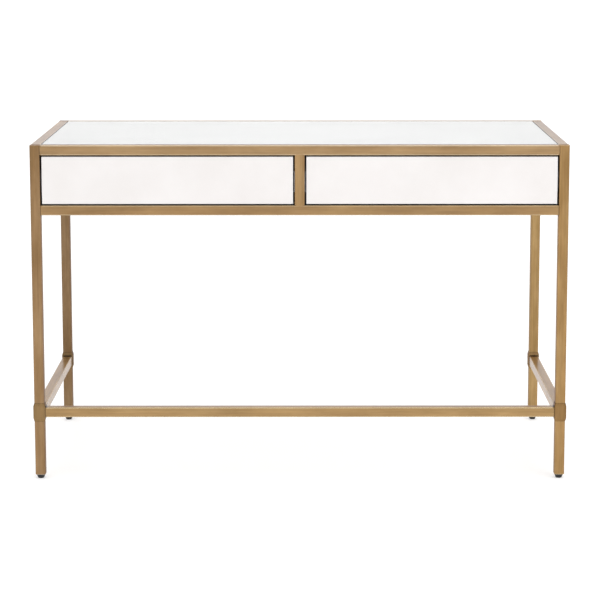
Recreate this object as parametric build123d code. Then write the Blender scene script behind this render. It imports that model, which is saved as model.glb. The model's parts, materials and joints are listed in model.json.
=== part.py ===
from build123d import *
import os

# Vanity desk: a square-tube frame with an inset glass top and two touch-latch drawers.
# Millimetres. The origin is on the floor at the centre of the footprint.
# +X is to the right of someone sitting at the desk, +Y away from them, +Z up.

# ---- Overall sizes ----
frame_width = 1200.0
frame_depth = 600.0
frame_height = 760.0

# ---- Frame tube ----
tube = 22.5
tube_wall = 1.5
tube_corner = 2.0
leg_cap_thickness = 2.0
leg_top_radius = 0.8
opening_height = 112.0

# ---- Collars and stretchers ----
stretcher_centre_height = 153.75
collar_wall = 2.5
collar_height = 41.0
collar_corner = 3.5
collar_bevel_height = 7.0
collar_rim = 0.5

# ---- Feet ----
foot_height = 9.2
foot_top_diameter = 21.5
foot_bottom_diameter = 13.0
foot_edge_radius = 1.0
foot_shoulder_gap = 0.3
stud_diameter = 8.0
stud_length = 18.0
insert_height = 22.0

# ---- Top ----
glass_thickness = 5.0
glass_gap = 1.5
glass_edge_chamfer = 0.6
panel_gap = 2.0
ledge_thickness = 1.5
ledge_width = 12.0

# ---- Case ----
case_bottom_thickness = 15.0
back_panel_thickness = 12.0
panel_recess = 2.0
batten_thickness = 5.5
batten_height = 60.0

# ---- Drawer fronts and boxes ----
face_side_gap = 3.5
face_height_gap = 3.0
face_recess = 1.0
face_thickness = 18.0
face_edge_radius = 1.5
space_behind_drawer = 131.0
box_wall = 12.0
box_headroom = 19.5
box_footroom = 8.5
bottom_thickness = 6.0
bottom_rise = 8.0
groove_depth = 5.0

# ---- Slides ----
slide_thickness = 12.7
slide_height = 45.0
slide_metal = 1.2
slide_running_clearance = 0.05
slide_setback = 4.0
slide_lip = 1.1
slide_rim = 11.0
middle_web = 3.6
middle_rim = 9.5
drawer_member_rim = 5.2

# ---- Touch latches ----
plunger_diameter = 8.0
plunger_length = 40.0
plunger_tip_diameter = 12.0
plunger_tip_thickness = 3.0
plunger_stand_off = 2.2
plunger_travel_room = 10.0
plunger_running_clearance = 0.05
plunger_height = 16.0
latch_block_width = 24.0
latch_block_height = 26.0
latch_length = 50.0
latch_foot_width = 52.0
latch_foot_thickness = 3.0
latch_screw_spacing = 38.0

# ---- Screws ----
screw_diameter = 3.5
screw_head_diameter = 7.0
screw_head_height = 1.8
screw_tip_length = 2.5
short_screw_length = 10.0
long_screw_length = 26.0
recess_length = 4.0
recess_width = 0.8
recess_depth = 1.0
screw_end_distance = 35.0
face_screw_span = 200.0

# ---- Derived positions ----
half_width = frame_width / 2
half_depth = frame_depth / 2
leg_x = half_width - tube / 2
leg_y = half_depth - tube / 2
inner_x = half_width - tube
inner_y = half_depth - tube
top_rail_base = frame_height - tube
opening_base = top_rail_base - opening_height
lower_rail_base = opening_base - tube
leg_base = foot_height + foot_shoulder_gap
collar_outer = tube + 2 * collar_wall
opening_width = inner_x - tube / 2
side_panel_thickness = tube - panel_recess - batten_thickness

face_front = -half_depth + face_recess
face_back = face_front + face_thickness
drawer_length = frame_depth - face_recess - face_thickness - space_behind_drawer
box_back = face_back + drawer_length
box_base = opening_base + box_footroom
box_top = top_rail_base - box_headroom
box_half_width = opening_width / 2 - slide_thickness
slide_z = (box_base + box_top) / 2
box_floor = box_base + bottom_rise + bottom_thickness
slide_front = face_back + slide_setback

box_screw_positions = (face_back + screw_end_distance, box_back - screw_end_distance)
face_screw_heights = (box_floor + (box_top - box_floor) / 4, box_top - (box_top - box_floor) / 4)
case_screw_positions = (
    slide_front + screw_end_distance,
    slide_front + drawer_length / 2,
    slide_front + drawer_length - screw_end_distance,
)
sides = (("left", -1), ("right", 1))
ends = (("front", -1), ("rear", 1))


# ---- Shapes ----
def block(x, y, z):
    """A box from three (low, high) pairs."""
    spans = [sorted(pair) for pair in (x, y, z)]
    size = [high - low for low, high in spans]
    centre = [(high + low) / 2 for low, high in spans]
    return Pos(*centre) * Box(*size)


def hollow_tube(start, direction, length):
    """A square tube from the point start, open at both ends."""
    section = RectangleRounded(tube, tube, tube_corner)
    section -= Rectangle(tube - 2 * tube_wall, tube - 2 * tube_wall)
    return extrude(Plane(start, z_dir=direction) * section, amount=length)


def channel(web, rim, half_height, lip):
    """A slide member's section: a U between x = web and x = rim, with lips at the rim."""
    inward = 1 if rim > web else -1
    depth = abs(rim - web)
    outer = Pos((web + rim) / 2, 0) * Rectangle(depth, 2 * half_height)
    hollow_height = 2 * (half_height - slide_metal)
    hollow_depth = depth - slide_metal
    if lip > 0:
        hollow_depth -= slide_metal
    hollow_x = web + inward * (slide_metal + hollow_depth / 2)
    section = outer - Pos(hollow_x, 0) * Rectangle(hollow_depth, hollow_height)
    if lip > 0:
        mouth_x = rim - inward * slide_metal / 2
        section -= Pos(mouth_x, 0) * Rectangle(slide_metal, hollow_height - 2 * lip)
    return section


def slide_member(face_x, toward_drawer, front, section):
    """A slide section run the length of the drawer from y = front."""
    plane = Plane((face_x, front + drawer_length, slide_z), x_dir=(toward_drawer, 0, 0), z_dir=(0, -1, 0))
    return extrude(plane * section, amount=drawer_length)


def screw(length):
    """A pan-head screw pointing along +Z, with its head under the XY plane."""
    head = Pos(0, 0, -screw_head_height / 2) * Cylinder(screw_head_diameter / 2, screw_head_height)
    head = fillet(head.edges().sort_by(Axis.Z)[0], screw_head_height / 2)
    recess_z = -screw_head_height + recess_depth / 2
    head -= Pos(0, 0, recess_z) * Box(recess_length, recess_width, recess_depth)
    head -= Pos(0, 0, recess_z) * Box(recess_width, recess_length, recess_depth)
    straight = length - screw_tip_length
    shank = Pos(0, 0, straight / 2) * Cylinder(screw_diameter / 2, straight)
    tip = Pos(0, 0, length - screw_tip_length / 2) * Cone(screw_diameter / 2, 0, screw_tip_length)
    return head + shank + tip


def placed(shape, point, direction):
    """The shape moved to the point, with its +Z along the direction."""
    return Plane(point, z_dir=direction).location * shape


def pilot(point, direction, length):
    """A hole for a screw's shank."""
    hole = Pos(0, 0, length / 2) * Cylinder(screw_diameter / 2, length)
    return placed(hole, point, direction)


def group(solids):
    """Separate solids kept together under one name."""
    return Compound(children=list(solids))


def save(name, shape):
    shape.label = name
    export_step(shape, f"parts/{name}.step")


os.makedirs("parts", exist_ok=True)
short_screw = screw(short_screw_length)
long_screw = screw(long_screw_length)


# ---- Legs, collars and feet ----
def leg(x, y):
    height = frame_height - leg_base
    body = extrude(RectangleRounded(tube, tube, tube_corner), amount=height)
    body = fillet(body.faces().sort_by(Axis.Z)[-1].edges(), leg_top_radius)
    bore = tube - 2 * tube_wall
    body -= extrude(Rectangle(bore, bore), amount=height - leg_cap_thickness)
    return Pos(x, y, leg_base) * body


def collar(x, y):
    rim = tube + 2 * collar_rim
    sections = (
        (0, rim, tube_corner + collar_rim),
        (collar_bevel_height, collar_outer, collar_corner),
        (collar_height - collar_bevel_height, collar_outer, collar_corner),
        (collar_height, rim, tube_corner + collar_rim),
    )
    body = loft([Pos(0, 0, z) * RectangleRounded(width, width, corner) for z, width, corner in sections], ruled=True)
    body -= extrude(RectangleRounded(tube, tube, tube_corner), amount=collar_height)
    return Pos(x, y, stretcher_centre_height - collar_height / 2) * body


def foot(x, y):
    base = Cone(foot_bottom_diameter / 2, foot_top_diameter / 2, foot_height)
    base = fillet(base.edges().sort_by(Axis.Z)[0], foot_edge_radius)
    stud = Pos(0, 0, (foot_height + stud_length) / 2) * Cylinder(stud_diameter / 2, stud_length)
    return Pos(x, y, foot_height / 2) * (base + stud)


def foot_insert(x, y):
    plug_size = tube - 2 * tube_wall
    plug = Box(plug_size, plug_size, insert_height)
    plug -= Cylinder(stud_diameter / 2 + slide_running_clearance, insert_height)
    return Pos(x, y, leg_base + insert_height / 2) * plug


inserts = []
for end, y_sign in ends:
    for side, x_sign in sides:
        x = x_sign * leg_x
        y = y_sign * leg_y
        save(f"{end}_{side}_leg", leg(x, y))
        save(f"{end}_{side}_collar", collar(x, y))
        save(f"{end}_{side}_foot", foot(x, y))
        inserts.append(foot_insert(x, y))
save("foot_inserts", group(inserts))

# ---- Rails, centre post and stretchers ----
rail_heights = (("top_rail", top_rail_base + tube / 2), ("lower_rail", lower_rail_base + tube / 2))
for rail, z in rail_heights:
    for end, y_sign in ends:
        save(f"{end}_{rail}", hollow_tube((-inner_x, y_sign * leg_y, z), (1, 0, 0), 2 * inner_x))
    for side, x_sign in sides:
        save(f"{side}_{rail}", hollow_tube((x_sign * leg_x, -inner_y, z), (0, 1, 0), 2 * inner_y))

# The weld at each end of the post fills the rail's rounded corner, so that its face runs into the rail's.
centre_post = hollow_tube((0, -leg_y, opening_base), (0, 0, 1), opening_height)
weld_half_width = tube / 2 - tube_corner
for z, into_rail in ((opening_base, -1), (top_rail_base, 1)):
    square = Pos(tube_corner / 2, into_rail * tube_corner / 2) * Rectangle(tube_corner, tube_corner)
    weld = square - Pos(tube_corner, into_rail * tube_corner) * Circle(tube_corner)
    plane = Plane((-weld_half_width, -half_depth, z), x_dir=(0, 1, 0), z_dir=(1, 0, 0))
    centre_post += extrude(plane * weld, amount=2 * weld_half_width)
save("centre_post", centre_post)

stretcher_x = inner_x - collar_wall
stretcher_y = inner_y - collar_wall
stretcher_z = stretcher_centre_height
save("front_stretcher", hollow_tube((-stretcher_x, -leg_y, stretcher_z), (1, 0, 0), 2 * stretcher_x))
for side, x_sign in sides:
    start = (x_sign * leg_x, -stretcher_y, stretcher_z)
    save(f"{side}_stretcher", hollow_tube(start, (0, 1, 0), 2 * stretcher_y))


# ---- Ledges, top and case panels ----
def ledge_ring(z):
    """Four strips along the inner faces of the rails."""
    heights = (z, z + ledge_thickness)
    strip_y = inner_y - ledge_width
    strip_x = inner_x - ledge_width
    return group([
        block((-inner_x, inner_x), (-inner_y, -strip_y), heights),
        block((-inner_x, inner_x), (strip_y, inner_y), heights),
        block((-inner_x, -strip_x), (-strip_y, strip_y), heights),
        block((strip_x, inner_x), (-strip_y, strip_y), heights),
    ])


def sheet(gap, z):
    """A sheet filling the frame in plan, less a gap all round."""
    return block((-inner_x + gap, inner_x - gap), (-inner_y + gap, inner_y - gap), z)


case_bottom_base = opening_base - case_bottom_thickness
top_panel_base = top_rail_base + ledge_thickness
glass_base = frame_height - glass_thickness
save("top_ledges", ledge_ring(top_rail_base))
save("bottom_ledges", ledge_ring(case_bottom_base - ledge_thickness))
save("top_panel", sheet(panel_gap, (top_panel_base, glass_base)))
glass = sheet(glass_gap, (glass_base, frame_height))
save("glass_top", chamfer(glass.faces().sort_by(Axis.Z)[-1].edges(), glass_edge_chamfer))

opening_heights = (opening_base, top_rail_base)
panel_outer_x = half_width - panel_recess
panel_inner_x = panel_outer_x - side_panel_thickness
back_outer_y = half_depth - panel_recess
back_inner_y = back_outer_y - back_panel_thickness
batten_heights = (slide_z - batten_height / 2, slide_z + batten_height / 2)
latch_y = box_back + plunger_stand_off + plunger_tip_thickness + plunger_travel_room / 2
latch_centres = [x_sign * (tube + opening_width) / 2 for side, x_sign in sides]

battens = []
for side, x_sign in sides:
    panel = block((x_sign * panel_inner_x, x_sign * panel_outer_x), (-inner_y, inner_y), opening_heights)
    batten = block((x_sign * inner_x, x_sign * panel_inner_x), (-inner_y, inner_y), batten_heights)
    for y in case_screw_positions:
        holes = pilot((x_sign * inner_x, y, slide_z), (x_sign, 0, 0), short_screw_length - slide_metal)
        panel -= holes
        batten -= holes
    save(f"{side}_side_panel", panel)
    battens.append(batten)
save("slide_battens", group(battens))
save("back_panel", block((-inner_x, inner_x), (back_inner_y, back_outer_y), opening_heights))

partition = block((-tube / 2, tube / 2), (-inner_y, back_inner_y), opening_heights)
for side, x_sign in sides:
    for y in case_screw_positions:
        start = (x_sign * tube / 2, y, slide_z)
        partition -= pilot(start, (-x_sign, 0, 0), short_screw_length - slide_metal)
save("centre_partition", partition)

case_bottom = sheet(panel_gap, (case_bottom_base, opening_base))
frame_screws = []
for centre in latch_centres:
    for offset in (-latch_screw_spacing / 2, latch_screw_spacing / 2):
        point = (centre + offset, latch_y + latch_length / 2, opening_base + latch_foot_thickness)
        case_bottom -= pilot(point, (0, 0, -1), short_screw_length)
        frame_screws.append(placed(short_screw, point, (0, 0, -1)))
save("case_bottom", case_bottom)

# ---- Slides ----
case_section = channel(0, slide_rim, slide_height / 2, slide_lip)
middle_half_height = slide_height / 2 - slide_metal - slide_running_clearance
middle_section = channel(middle_web, middle_rim, middle_half_height, 0)
drawer_half_height = middle_half_height - slide_metal - slide_running_clearance
drawer_section = channel(slide_thickness, drawer_member_rim, drawer_half_height, 0)

case_members = []
for side, x_sign in sides:
    middle_members = []
    for face_x, toward in ((x_sign * inner_x, -x_sign), (x_sign * tube / 2, x_sign)):
        member = slide_member(face_x, toward, slide_front, case_section)
        for y in case_screw_positions:
            member -= pilot((face_x, y, slide_z), (toward, 0, 0), slide_metal)
            head_side = (face_x + toward * slide_metal, y, slide_z)
            frame_screws.append(placed(short_screw, head_side, (-toward, 0, 0)))
        case_members.append(member)
        middle_members.append(slide_member(face_x, toward, slide_front, middle_section))
    save(f"{side}_slide_middles", group(middle_members))
save("slide_case_members", group(case_members))
save("frame_screws", group(frame_screws))


# ---- Touch latches ----
def latch_housing(centre):
    y = (latch_y, latch_y + latch_length)
    half_block = latch_block_width / 2
    half_foot = latch_foot_width / 2
    body = block((centre - half_block, centre + half_block), y, (opening_base, opening_base + latch_block_height))
    body += block((centre - half_foot, centre + half_foot), y, (opening_base, opening_base + latch_foot_thickness))
    for offset in (-latch_screw_spacing / 2, latch_screw_spacing / 2):
        point = (centre + offset, latch_y + latch_length / 2, opening_base)
        body -= pilot(point, (0, 0, 1), latch_foot_thickness)
    bore_depth = plunger_length
    bore = Pos(0, 0, bore_depth / 2) * Cylinder(plunger_diameter / 2 + plunger_running_clearance, bore_depth)
    return body - placed(bore, (centre, latch_y, opening_base + plunger_height), (0, 1, 0))


def latch_plunger(centre):
    tip = Pos(0, 0, plunger_tip_thickness / 2) * Cylinder(plunger_tip_diameter / 2, plunger_tip_thickness)
    shaft = Pos(0, 0, plunger_length / 2) * Cylinder(plunger_diameter / 2, plunger_length)
    return placed(tip + shaft, (centre, box_back + plunger_stand_off, opening_base + plunger_height), (0, 1, 0))


save("latch_housings", group(latch_housing(centre) for centre in latch_centres))
for (side, x_sign), centre in zip(sides, latch_centres):
    save(f"{side}_latch_plunger", latch_plunger(centre))


# ---- Drawers ----
def save_drawer(side, centre):
    face_half = opening_width / 2 - face_side_gap
    face_heights = (opening_base + face_height_gap, top_rail_base - face_height_gap)
    face = block((centre - face_half, centre + face_half), (face_front, face_back), face_heights)
    face = fillet(face.faces().sort_by(Axis.Y)[0].edges(), face_edge_radius)

    heights = (box_base, box_top)
    inner_half = box_half_width - box_wall
    groove_half = inner_half + groove_depth
    box_front_back = face_back + box_wall
    back_front = box_back - box_wall
    groove_x = (centre - groove_half, centre + groove_half)
    groove_y = (box_front_back - groove_depth, back_front + groove_depth)
    groove_z = (box_base + bottom_rise, box_floor)
    bottom = block(groove_x, groove_y, groove_z)

    inner_span = (centre - inner_half, centre + inner_half)
    box_front = block(inner_span, (face_back, box_front_back), heights) - bottom
    back = block(inner_span, (back_front, box_back), heights) - bottom

    face_screws = []
    for across in (-face_screw_span, face_screw_span):
        for z in face_screw_heights:
            point = (centre + across, box_front_back, z)
            hole = pilot(point, (0, -1, 0), long_screw_length)
            face -= hole
            box_front -= hole
            face_screws.append(placed(long_screw, point, (0, -1, 0)))

    side_boards = []
    slide_members = []
    slide_screws = []
    for outward in (-1, 1):
        outer_x = centre + outward * box_half_width
        board = block((outer_x, outer_x - outward * box_wall), (face_back, box_back), heights) - bottom
        opening_face = centre + outward * opening_width / 2
        member = slide_member(opening_face, -outward, face_back, drawer_section)
        for y in box_screw_positions:
            web_face = outer_x + outward * slide_metal
            hole = pilot((web_face, y, slide_z), (-outward, 0, 0), short_screw_length)
            board -= hole
            member -= hole
            slide_screws.append(placed(short_screw, (web_face, y, slide_z), (-outward, 0, 0)))
        side_boards.append(board)
        slide_members.append(member)

    save(f"{side}_drawer_face", face)
    save(f"{side}_drawer_box_front", box_front)
    save(f"{side}_drawer_sides", group(side_boards))
    save(f"{side}_drawer_back", back)
    save(f"{side}_drawer_bottom", bottom)
    save(f"{side}_drawer_slide_members", group(slide_members))
    save(f"{side}_drawer_slide_screws", group(slide_screws))
    save(f"{side}_drawer_face_screws", group(face_screws))


for (side, x_sign), centre in zip(sides, latch_centres):
    save_drawer(side, centre)
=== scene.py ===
import json
import math

import bpy
from mathutils import Euler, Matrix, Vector


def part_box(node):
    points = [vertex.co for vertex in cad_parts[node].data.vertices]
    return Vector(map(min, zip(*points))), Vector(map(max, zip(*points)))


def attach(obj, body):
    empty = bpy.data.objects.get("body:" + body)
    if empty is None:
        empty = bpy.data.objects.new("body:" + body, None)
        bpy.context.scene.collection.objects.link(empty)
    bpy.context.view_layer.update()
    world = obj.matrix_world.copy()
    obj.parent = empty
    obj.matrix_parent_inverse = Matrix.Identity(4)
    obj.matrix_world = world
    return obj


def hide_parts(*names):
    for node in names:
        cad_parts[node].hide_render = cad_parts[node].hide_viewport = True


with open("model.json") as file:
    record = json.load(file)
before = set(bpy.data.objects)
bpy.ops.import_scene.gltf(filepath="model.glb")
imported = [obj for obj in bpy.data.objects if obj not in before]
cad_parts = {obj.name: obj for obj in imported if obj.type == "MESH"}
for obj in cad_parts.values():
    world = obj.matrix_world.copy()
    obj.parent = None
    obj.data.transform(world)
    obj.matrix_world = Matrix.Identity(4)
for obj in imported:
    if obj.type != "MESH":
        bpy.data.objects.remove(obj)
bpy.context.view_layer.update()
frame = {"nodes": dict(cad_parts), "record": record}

NODES = frame["nodes"]


# ---- Node helpers ----
class Shader:
    """A material under construction: add nodes by type, link them by (node, socket) pairs."""

    def __init__(self, name):
        self.material = bpy.data.materials.new(name)
        self.material.use_nodes = True
        self.tree = self.material.node_tree
        self.tree.nodes.clear()
        self.output = self.node("ShaderNodeOutputMaterial")
        self.bsdf = self.node("ShaderNodeBsdfPrincipled")
        self.link(self.bsdf, "BSDF", self.output, "Surface")
        self.coords = self.node("ShaderNodeTexCoord")

    def node(self, kind, **settings):
        made = self.tree.nodes.new(kind)
        for key, value in settings.items():
            setattr(made, key, value)
        return made

    def link(self, source, out_socket, target, in_socket):
        self.tree.links.new(source.outputs[out_socket], target.inputs[in_socket])

    def set(self, **values):
        """Plain values on the Principled shader's own sockets."""
        for key, value in values.items():
            self.bsdf.inputs[key.replace("_", " ")].default_value = value

    def noise(self, scale, detail=3.0, roughness=0.55, stretch=(1, 1, 1), offset=(0, 0, 0)):
        """Noise in the object's own metres; scale is cells per metre, stretch multiplies each axis."""
        mapping = self.node("ShaderNodeMapping")
        mapping.inputs["Scale"].default_value = stretch
        mapping.inputs["Location"].default_value = offset
        self.link(self.coords, "Object", mapping, "Vector")
        made = self.node("ShaderNodeTexNoise")
        made.inputs["Scale"].default_value = scale
        made.inputs["Detail"].default_value = detail
        made.inputs["Roughness"].default_value = roughness
        self.link(mapping, "Vector", made, "Vector")
        return made

    def voronoi(self, scale):
        """Cells in the object's own metres; scale is cells per metre."""
        made = self.node("ShaderNodeTexVoronoi")
        made.inputs["Scale"].default_value = scale
        self.link(self.coords, "Object", made, "Vector")
        return made

    def ramp(self, source, out_socket, stops):
        """A colour ramp; stops are (position, value or colour)."""
        made = self.node("ShaderNodeValToRGB")
        elements = made.color_ramp.elements
        while len(elements) < len(stops):
            elements.new(0.5)
        for element, (position, value) in zip(elements, stops):
            element.position = position
            colour = value if isinstance(value, tuple) else (value, value, value)
            element.color = (*colour, 1.0)
        self.link(source, out_socket, made, "Fac")
        return made

    def mix(self, factor, first, second, blend="MIX"):
        """Mixes two colours; each argument is a (node, socket) pair, a number or a colour."""
        made = self.node("ShaderNodeMix", data_type="RGBA", blend_type=blend)
        slots = ((0, factor), (6, first), (7, second))
        for index, value in slots:
            if isinstance(value, tuple) and isinstance(value[0], bpy.types.Node):
                self.tree.links.new(value[0].outputs[value[1]], made.inputs[index])
            elif isinstance(value, tuple):
                made.inputs[index].default_value = (*value, 1.0)
            else:
                made.inputs[index].default_value = value
        return made

    def bump(self, source, out_socket, strength, distance):
        """A raised surface; distance is the height in metres."""
        made = self.node("ShaderNodeBump")
        made.inputs["Strength"].default_value = strength
        made.inputs["Distance"].default_value = distance
        self.link(source, out_socket, made, "Height")
        return made

    def edges(self, radius, low, high):
        """A mask that is 1 along sharp edges: how far a rounded normal leaves the true one."""
        bevel = self.node("ShaderNodeBevel", samples=6)
        bevel.inputs["Radius"].default_value = radius
        geometry = self.node("ShaderNodeNewGeometry")
        dot = self.node("ShaderNodeVectorMath", operation="DOT_PRODUCT")
        self.link(bevel, "Normal", dot, 0)
        self.link(geometry, "Normal", dot, 1)
        return self.ramp(dot, "Value", ((low, 1.0), (high, 0.0)))

    def crevice_painted_shade(self, reach, deepest, closed_at, open_at):
        """Painted shade: a tone, from ambient occlusion, that falls to deepest in corners and seams within
        reach, and is 1 in the open.
        """
        occlusion = self.node("ShaderNodeAmbientOcclusion", samples=8)
        occlusion.inputs["Distance"].default_value = reach
        return self.ramp(occlusion, "AO", ((closed_at, deepest), (open_at, 1.0)))

    def between(self, axis, low, high):
        """A mask that is 1 between two places along an axis of the object, and 0 outside them."""
        split = self.node("ShaderNodeSeparateXYZ")
        self.link(self.coords, "Object", split, "Vector")
        inside = self.node("ShaderNodeMath", operation="COMPARE")
        self.link(split, axis, inside, 0)
        inside.inputs[1].default_value = (low + high) / 2
        inside.inputs[2].default_value = (high - low) / 2
        return inside


# ---- Materials ----
AXES = {"x": 0, "y": 1, "z": 2}
# The darkest, middle and lightest tones of the gold's soft patches; the tone of worn edges, lightened as
# painted highlight; and the tint of the metal's reflection at grazing angles.
GOLD_TONES = ((0.365, 0.217, 0.080), (0.450, 0.279, 0.116), (0.540, 0.352, 0.158))
EDGE_WEAR_AND_HIGHLIGHT = (1.0, 0.86, 0.64)
GRAZING = (0.25, 0.16, 0.17)
# The noise's scale along the tube, as a share of its scale across: brushing lines and soft patches.
STREAK_SHARE = 0.012
PATCH_SHARE = 0.22
# Lacquer on tubes lying along X and Y, and on standing ones.
LACQUER = {"x": 1.0, "y": 1.0, "z": 0.3}
# Worn edges lightened with painted highlight: the reach from an edge, and the cosines where the highlight
# is full and where it ends.
LYING_WEAR_AND_HIGHLIGHT = (0.0026, 0.96, 0.999)
STANDING_WEAR_AND_HIGHLIGHT = (0.0016, 0.90, 0.99)
WEAR_AND_HIGHLIGHT = {"x": LYING_WEAR_AND_HIGHLIGHT, "y": LYING_WEAR_AND_HIGHLIGHT, "z": STANDING_WEAR_AND_HIGHLIGHT}
END_CLEAR = 0.003
# Painted shade in seams, corners and gaps: its reach, its darkest tone, and how open a place is where it is
# darkest and where it ends.
SEAM_PAINTED_SHADE = (0.008, 0.10, 0.66, 0.90)


def drawn_out(along, lengthwise, across):
    """What the noise's scale is multiplied by on each axis, for a grain that runs along one of them."""
    return [lengthwise if axis == along else across for axis in AXES]


def brushed_gold(along, tone, ends):
    """Antique gold tube: brushing along one axis, soft patches, worn edges lightened with painted
    highlight, painted shade in corners and seams, and the piece's tone of painted light and shade.

    ends is the (low, high) span of a piece that stops against others: no painted edge highlight at its
    ends."""
    s = Shader(f"gold_{along}_{round(100 * tone[0])}_{round(100 * tone[2])}")
    streak = drawn_out(along, STREAK_SHARE, 1.0)
    patch = drawn_out(along, PATCH_SHARE, 1.0)
    fine = s.noise(900.0, detail=2.0, stretch=streak)
    medium = s.noise(170.0, detail=3.0, stretch=streak, offset=(3.1, 1.7, 0.4))
    patches = s.noise(38.0, detail=4.0, roughness=0.6, stretch=patch, offset=(7.0, 2.0, 5.0))
    base = s.ramp(patches, "Fac", tuple(zip((0.30, 0.52, 0.74), GOLD_TONES)))
    streaks = s.ramp(medium, "Fac", ((0.30, 0.82), (0.70, 1.12)))
    toned = s.mix(1.0, (base, "Color"), (streaks, "Color"), "MULTIPLY")
    hair = s.ramp(fine, "Fac", ((0.30, 0.90), (0.70, 1.08)))
    haired = s.mix(1.0, (toned, 2), (hair, "Color"), "MULTIPLY")
    # Painted light and shade: the piece's tone, darker or lighter by how light falls on it.
    with_piece_light_and_shade = s.mix(1.0, (haired, 2), tone, "MULTIPLY")
    wear_and_highlight = s.edges(*WEAR_AND_HIGHLIGHT[along])
    mask = (wear_and_highlight, "Color")
    if ends is not None:
        clear = s.between(AXES[along], ends[0] + END_CLEAR, ends[1] - END_CLEAR)
        mask = (s.mix(1.0, mask, (clear, "Value"), "MULTIPLY"), 2)
    # Painted highlight: worn edges are lightened toward a bright gold that stands for the light the edges
    # catch.
    worn_and_highlit = s.mix(mask, (with_piece_light_and_shade, 2), tuple(bright * share for bright, share in zip(EDGE_WEAR_AND_HIGHLIGHT, tone)))
    # Painted shade: darker in corners, seams and gaps where less light reaches.
    painted_shade = s.crevice_painted_shade(*SEAM_PAINTED_SHADE)
    with_painted_shade = s.mix(1.0, (worn_and_highlit, 2), (painted_shade, "Color"), "MULTIPLY")
    s.link(with_painted_shade, 2, s.bsdf, "Base Color")
    rough = s.ramp(medium, "Fac", ((0.25, 0.44), (0.75, 0.60)))
    s.link(rough, "Color", s.bsdf, "Roughness")
    hairline = s.bump(fine, "Fac", 0.25, 0.0001)
    s.link(hairline, "Normal", s.bsdf, "Normal")
    s.set(Metallic=0.92, Coat_Weight=LACQUER[along], Coat_Roughness=0.25, Coat_IOR=1.5)
    s.set(Specular_Tint=(*GRAZING, 1.0))
    return s.material


def front_wrap():
    """Warm white wrap on the drawer fronts: faint clouding and a very fine pebble."""
    s = Shader("front_wrap")
    cloud = s.noise(9.0, detail=3.0)
    pebble = s.voronoi(620.0)
    colour = s.ramp(cloud, "Fac", ((0.30, (0.822, 0.789, 0.773)), (0.70, (0.866, 0.837, 0.826))))
    grain = s.ramp(pebble, "Distance", ((0.0, 1.0), (0.9, 0.97)))
    toned = s.mix(1.0, (colour, "Color"), (grain, "Color"), "MULTIPLY")
    s.link(toned, 2, s.bsdf, "Base Color")
    rough = s.ramp(cloud, "Fac", ((0.3, 0.36), (0.7, 0.46)))
    s.link(rough, "Color", s.bsdf, "Roughness")
    raised = s.bump(pebble, "Distance", 0.20, 0.00015)
    s.link(raised, "Normal", s.bsdf, "Normal")
    s.set(Specular_IOR_Level=0.45)
    return s.material


# The blue of a white board, as a share of its red and green.
WARMTH = 0.993


def white_board(name, dark, light):
    """White lacquered board: a faint orange-peel and slight tone drift."""
    s = Shader(name)
    cloud = s.noise(6.0, detail=2.0)
    peel = s.noise(420.0, detail=2.0)
    ends = tuple((tone, tone, tone * WARMTH) for tone in (dark, light))
    colour = s.ramp(cloud, "Fac", tuple(zip((0.30, 0.70), ends)))
    s.link(colour, "Color", s.bsdf, "Base Color")
    rough = s.ramp(peel, "Fac", ((0.3, 0.38), (0.7, 0.48)))
    s.link(rough, "Color", s.bsdf, "Roughness")
    raised = s.bump(peel, "Fac", 0.12, 0.0002)
    s.link(raised, "Normal", s.bsdf, "Normal")
    return s.material


def drawer_wood(along):
    """Pale sealed ply, its grain running along one axis."""
    s = Shader("drawer_wood_" + along)
    grain = s.noise(26.0, detail=5.0, stretch=drawn_out(along, 0.5, 6.0))
    pores = s.noise(300.0, detail=2.0, stretch=drawn_out(along, 0.06, 2.5))
    colour = s.ramp(grain, "Fac", (
        (0.28, (0.53, 0.395, 0.255)), (0.50, (0.625, 0.485, 0.325)), (0.75, (0.69, 0.56, 0.40))))
    dark = s.ramp(pores, "Fac", ((0.30, 0.80), (0.46, 1.0)))
    toned = s.mix(1.0, (colour, "Color"), (dark, "Color"), "MULTIPLY")
    s.link(toned, 2, s.bsdf, "Base Color")
    rough = s.ramp(pores, "Fac", ((0.3, 0.62), (0.7, 0.50)))
    s.link(rough, "Color", s.bsdf, "Roughness")
    raised = s.bump(pores, "Fac", 0.15, 0.0002)
    s.link(raised, "Normal", s.bsdf, "Normal")
    return s.material


def zinc():
    """Bright zinc plate on steel: soft spangle and drawn lines along Y."""
    s = Shader("zinc_plate")
    spangle = s.voronoi(240.0)
    drawn = s.noise(700.0, detail=2.0, stretch=(1.0, 0.01, 1.0))
    colour = s.ramp(spangle, "Distance", ((0.0, (0.66, 0.67, 0.69)), (1.0, (0.52, 0.53, 0.56))))
    lines = s.ramp(drawn, "Fac", ((0.3, 0.90), (0.7, 1.06)))
    toned = s.mix(1.0, (colour, "Color"), (lines, "Color"), "MULTIPLY")
    s.link(toned, 2, s.bsdf, "Base Color")
    rough = s.ramp(drawn, "Fac", ((0.3, 0.28), (0.7, 0.42)))
    s.link(rough, "Color", s.bsdf, "Roughness")
    s.set(Metallic=1.0)
    return s.material


def moulded(name, dark, light, rough_low, rough_high):
    """Moulded plastic: fine spark-eroded grain and a slight tone drift."""
    s = Shader(name)
    grain = s.noise(1500.0, detail=2.0)
    cloud = s.noise(60.0, detail=2.0)
    colour = s.ramp(cloud, "Fac", ((0.3, dark), (0.7, light)))
    s.link(colour, "Color", s.bsdf, "Base Color")
    rough = s.ramp(grain, "Fac", ((0.3, rough_low), (0.7, rough_high)))
    s.link(rough, "Color", s.bsdf, "Roughness")
    raised = s.bump(grain, "Fac", 0.25, 0.0001)
    s.link(raised, "Normal", s.bsdf, "Normal")
    return s.material


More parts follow.
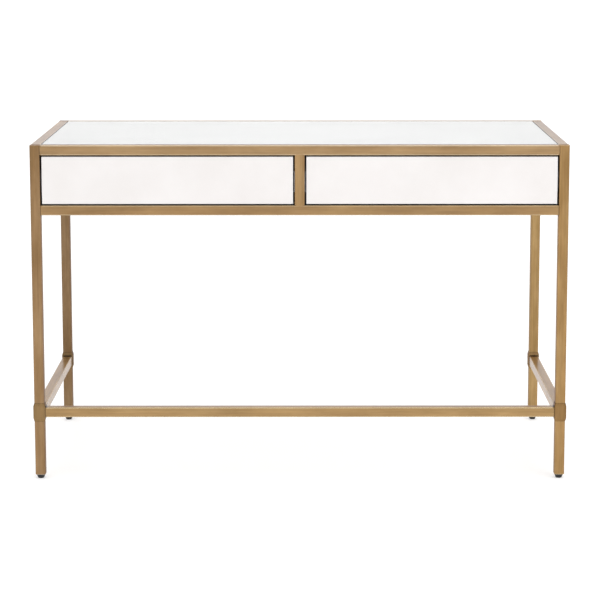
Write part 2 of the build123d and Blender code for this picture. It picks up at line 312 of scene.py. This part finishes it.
def clear_glass():
    """Clear sheet: near-colourless on its faces, a green tone in its thickness."""
    s = Shader("clear_glass")
    wipe = s.noise(14.0, detail=3.0, stretch=(0.4, 1.6, 1.0))
    rough = s.ramp(wipe, "Fac", ((0.3, 0.015), (0.7, 0.05)))
    s.link(rough, "Color", s.bsdf, "Roughness")
    s.set(Base_Color=(0.985, 0.993, 0.988, 1.0), Transmission_Weight=1.0, IOR=1.5)
    return s.material


GOLD = {}
WRAP = front_wrap()
# Painted light: the panel under the glass gets a lighter white than the case, making up for the light the
# glass sheet holds back.
TOP_WHITE_PAINTED_LIGHTER = white_board("white_top", 0.88, 0.915)
CASE_WHITE = white_board("white_case", 0.79, 0.83)
WOOD = {along: drawer_wood(along) for along in "xy"}
ZINC = zinc()
BLACK = moulded("black_nylon", (0.010, 0.010, 0.010), (0.018, 0.018, 0.017), 0.48, 0.62)
GREY = moulded("grey_plastic", (0.27, 0.27, 0.28), (0.33, 0.33, 0.34), 0.42, 0.56)
GLASS = clear_glass()

BY_SLOT = {
    "clear_glass": GLASS,
    "white_board": CASE_WHITE,
    "front_wrap": WRAP,
    "zinc": ZINC,
    "black_nylon": BLACK,
    "grey_plastic": GREY,
}


# Painted light and shade: each tone multiplies the gold's colour to paint how much light falls on that
# piece, the left legs and all the collars darker, the right legs lighter.
PIECE_LIGHT_AND_SHADE = {
    "front_left_leg": (0.75, 0.74, 0.83),
    "rear_left_leg": (0.58, 0.58, 0.67),
    "front_right_leg": (0.93, 0.91, 0.86),
    "rear_right_leg": (0.95, 0.98, 0.96),
    "front_left_collar": (0.64, 0.64, 0.63),
    "front_right_collar": (0.66, 0.61, 0.52),
    "rear_left_collar": (0.55, 0.56, 0.58),
    "rear_right_collar": (0.67, 0.65, 0.63),
    "front_top_rail": (0.87, 0.86, 0.85),
    "front_lower_rail": (0.78, 0.73, 0.61),
    "front_stretcher": (0.93, 0.92, 0.79),
    "centre_post": (0.93, 0.94, 1.01),
    "left_top_rail": (0.92, 0.90, 0.92),
    "right_top_rail": (0.86, 0.84, 0.84),
}
RAIL_TONE = (1.0, 1.0, 1.0)


def gold_for(node):
    """Gold brushed along the piece's longest side, in its own tone of painted light and shade."""
    low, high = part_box(node)
    size = [high[i] - low[i] for i in range(3)]
    longest = size.index(max(size))
    ends = None if node.endswith("_leg") else (low[longest], high[longest])
    key = ("xyz"[longest], PIECE_LIGHT_AND_SHADE.get(node, RAIL_TONE), ends)
    if key not in GOLD:
        GOLD[key] = brushed_gold(*key)
    return GOLD[key]


def material_for(node, slot):
    """The material of a carried-over piece, with the metal's and wood's grain along it."""
    if slot == "gold_metal":
        return gold_for(node)
    if slot == "drawer_wood":
        return WOOD["x" if node.endswith(("_front", "_back")) else "y"]
    if node == "top_panel":
        return TOP_WHITE_PAINTED_LIGHTER
    return BY_SLOT[slot]


for part in frame["record"]["subparts"]:
    obj = NODES[part["node"]]
    obj.data.materials.clear()
    obj.data.materials.append(material_for(part["node"], part["material_slot"]))

# ---- Glass sheet ----
# It stands a hair off the panel under it, so that light passes through it cleanly.
GLASS_LIFT = 0.0003
GLASS_BEVEL = 0.0008
GLASS_BEVEL_STEPS = 3
low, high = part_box("glass_top")
corners = [(x, y, z) for z in (low[2] + GLASS_LIFT, high[2]) for x, y in (
    (low[0], low[1]), (high[0], low[1]), (high[0], high[1]), (low[0], high[1]))]
glass_mesh = bpy.data.meshes.new("glass_sheet")
sides = [(i, (i + 1) % 4, (i + 1) % 4 + 4, i + 4) for i in range(4)]
glass_mesh.from_pydata(corners, [], [(3, 2, 1, 0), (4, 5, 6, 7), *sides])
glass_mesh.materials.append(GLASS)
glass_sheet = bpy.data.objects.new("glass_sheet", glass_mesh)
bpy.context.collection.objects.link(glass_sheet)
bevel = glass_sheet.modifiers.new("polished_edge", "BEVEL")
bevel.width = GLASS_BEVEL
bevel.segments = GLASS_BEVEL_STEPS
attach(glass_sheet, "desk_frame")
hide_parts("glass_top")

# ---- Floor ----
# A pale sheet that glows a little, so that the desk stands on near white.
FLOOR_HALF = 60.0
FLOOR_TONE = 0.70
FLOOR_GLOW = 0.40
floor_mesh = bpy.data.meshes.new("studio_floor")
floor_corners = [(x * FLOOR_HALF, y * FLOOR_HALF, 0) for x, y in ((-1, -1), (1, -1), (1, 1), (-1, 1))]
floor_mesh.from_pydata(floor_corners, [], [(0, 1, 2, 3)])
floor = bpy.data.objects.new("studio_floor", floor_mesh)
bpy.context.collection.objects.link(floor)
paper = Shader("studio_paper")
paper.set(Base_Color=(FLOOR_TONE, FLOOR_TONE, FLOOR_TONE, 1.0), Roughness=0.9, Specular_IOR_Level=0.0)
paper.set(Emission_Color=(1.0, 1.0, 1.0, 1.0), Emission_Strength=FLOOR_GLOW)
floor_mesh.materials.append(paper.material)

# ---- Light ----
# A bright room, brightest overhead, a little whiter behind the desk and darker to the far left and right.
# The camera itself sees plain white in its place.
world = bpy.data.worlds.new("studio")
bpy.context.scene.world = world
world.use_nodes = True
tree = world.node_tree
background = tree.nodes["Background"]
direction = tree.nodes.new("ShaderNodeTexCoord")
split = tree.nodes.new("ShaderNodeSeparateXYZ")
tree.links.new(direction.outputs["Generated"], split.inputs["Vector"])


def world_curve(axis, absolute, points):
    """Brightness along one axis of the direction, as (axis value, brightness) points."""
    source = split.outputs[axis]
    if absolute:
        size = tree.nodes.new("ShaderNodeMath")
        size.operation = "ABSOLUTE"
        tree.links.new(source, size.inputs[0])
        source = size.outputs[0]
    curve = tree.nodes.new("ShaderNodeFloatCurve")
    unit = tree.nodes.new("ShaderNodeMapRange")
    unit.inputs["From Min"].default_value = points[0][0]
    unit.inputs["From Max"].default_value = points[-1][0]
    tree.links.new(source, unit.inputs["Value"])
    tree.links.new(unit.outputs["Result"], curve.inputs["Value"])
    line = curve.mapping.curves[0]
    span = points[-1][0] - points[0][0]
    for index, (value, brightness) in enumerate(points):
        where = ((value - points[0][0]) / span, brightness / WORLD_PEAK)
        if index in (0, len(points) - 1):
            line.points[min(index, len(line.points) - 1)].location = where
        else:
            line.points.new(*where)
    for point in line.points:
        point.handle_type = "VECTOR"
    curve.mapping.update()
    return curve.outputs[0]


# The curves' values are shares of this, which is more than the largest of them.
WORLD_PEAK = 2.5
across = world_curve("X", True, ((0.0, 1.04), (0.5, 0.95), (1.0, 0.30)))
along = world_curve("Y", False, ((-1.0, 0.95), (0.0, 0.91), (0.9, 0.91), (1.0, 1.07)))
upward = world_curve("Z", False, ((-1.0, 1.0), (0.7, 1.0), (1.0, 2.4)))
full_scale = tree.nodes.new("ShaderNodeValue").outputs[0]
full_scale.default_value = WORLD_PEAK ** 3
room = across
for factor in (along, upward, full_scale):
    product = tree.nodes.new("ShaderNodeMath")
    product.operation = "MULTIPLY"
    tree.links.new(room, product.inputs[0])
    tree.links.new(factor, product.inputs[1])
    room = product.outputs[0]
path = tree.nodes.new("ShaderNodeLightPath")
seen = tree.nodes.new("ShaderNodeMix")
tree.links.new(path.outputs["Is Camera Ray"], seen.inputs[0])
tree.links.new(room, seen.inputs[2])
seen.inputs[3].default_value = 1.0
tree.links.new(seen.outputs[0], background.inputs["Strength"])
background.inputs["Color"].default_value = (1.0, 1.0, 1.0, 1.0)


def softbox(name, location, target, size, power):
    """A rectangular lamp at a place, turned to a target."""
    light = bpy.data.lights.new(name, "AREA")
    light.shape = "RECTANGLE"
    light.size, light.size_y = size
    light.energy = power
    lamp = bpy.data.objects.new(name, light)
    bpy.context.collection.objects.link(lamp)
    lamp.location = location
    lamp.rotation_euler = (Vector(target) - Vector(location)).to_track_quat("-Z", "Y").to_euler()


KEY_PLACE = (2.2, -2.6, 3.2)
KEY_AIM = (0, 0, 0.5)
KEY_SIZE = (2.2, 2.2)
KEY_WATTS = 20
softbox("key_light", KEY_PLACE, KEY_AIM, KEY_SIZE, KEY_WATTS)

# ---- Camera ----
# It looks slightly down; the lens is in sensor widths and the shift in picture widths.
PLACE = (0.016, -5.0393, 1.2557)
PITCH = 0.1483
YAW = 0.0024
SENSOR = 36.0
FOCAL = 3.576
SHIFT = (-0.02, -0.10)
camera_data = bpy.data.cameras.new("camera")
camera = bpy.data.objects.new("camera", camera_data)
bpy.context.collection.objects.link(camera)
camera_data.sensor_width = SENSOR
camera_data.lens = FOCAL * SENSOR
camera_data.shift_x, camera_data.shift_y = SHIFT
camera.location = PLACE
camera.rotation_euler = Euler((math.pi / 2 - PITCH, 0.0, -YAW), "XYZ")
bpy.context.scene.camera = camera

bpy.context.scene.view_settings.view_transform = "Standard"
